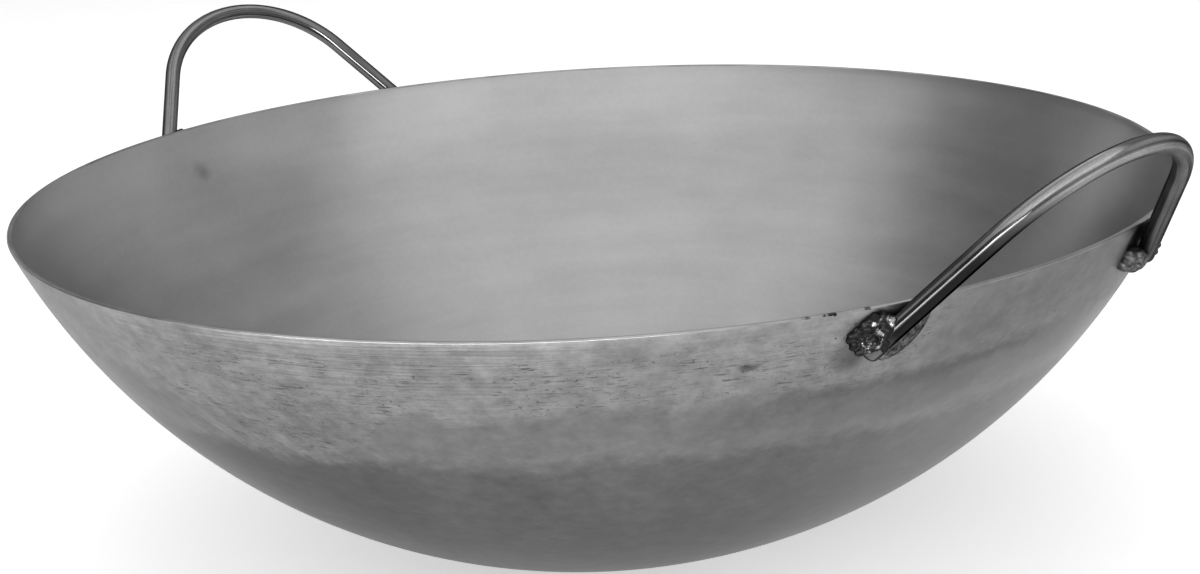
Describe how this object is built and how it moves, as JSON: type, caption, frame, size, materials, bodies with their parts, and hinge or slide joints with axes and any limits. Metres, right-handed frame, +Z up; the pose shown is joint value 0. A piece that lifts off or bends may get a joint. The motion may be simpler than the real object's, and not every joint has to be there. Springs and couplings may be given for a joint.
{
  "type": "wok",
  "caption": "Round sheet-steel wok with a spherical bowl and bent round-rod loop handles welded to the outside of the wall, for stir-frying over a burner or ring.",
  "frame": {"origin": "centre of the whole part's plan, on the flat it rests on", "axes": "+Z up out of the bowl; +X through the middle of the right handle; +Y towards the rear"},
  "size_m": [0.4714, 0.4056, 0.1747],
  "materials": {
    "sheet_steel": "bare spun carbon steel, satin inside, with turning lines and scuffs outside",
    "rod_steel": "drawn round bar, smooth and half bright",
    "weld_metal": "as welded, dark with bright crests"
  },
  "bodies": {
    "root": {"bowl": "sheet_steel", "right_handle": "rod_steel", "left_handle": "rod_steel", "right_front_inner_weld": "weld_metal", "right_front_outer_weld": "weld_metal", "right_rear_inner_weld": "weld_metal", "right_rear_outer_weld": "weld_metal", "left_front_inner_weld": "weld_metal", "left_front_outer_weld": "weld_metal", "left_rear_inner_weld": "weld_metal", "left_rear_outer_weld": "weld_metal"}
  },
  "joints": []
}
